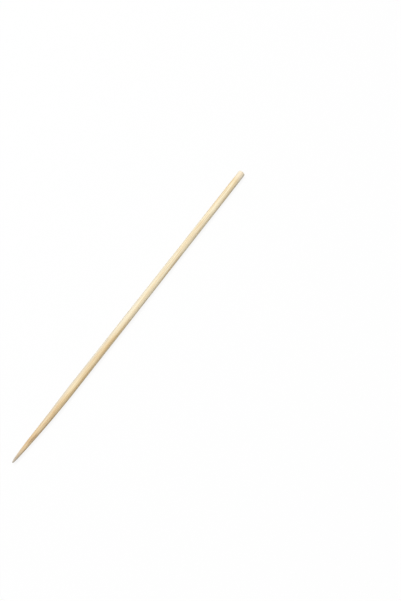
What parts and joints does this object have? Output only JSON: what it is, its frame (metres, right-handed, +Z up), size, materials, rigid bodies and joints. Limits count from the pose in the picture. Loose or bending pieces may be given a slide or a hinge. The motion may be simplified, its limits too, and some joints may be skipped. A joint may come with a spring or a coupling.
{
  "type": "bamboo skewer",
  "caption": "Round bamboo skewer, sawn square at one end and ground to a slender point at the other.",
  "frame": {"origin": "centre of the flat sawn end", "axes": "+X along the shaft from the sawn end to the point, +Z up with the skewer lying level, its slight bow in the level XY plane"},
  "size_m": [0.2, 0.0041, 0.004],
  "materials": {
    "bamboo": "milled, unvarnished bamboo"
  },
  "bodies": {
    "root": {"skewer": "bamboo"}
  },
  "joints": []
}
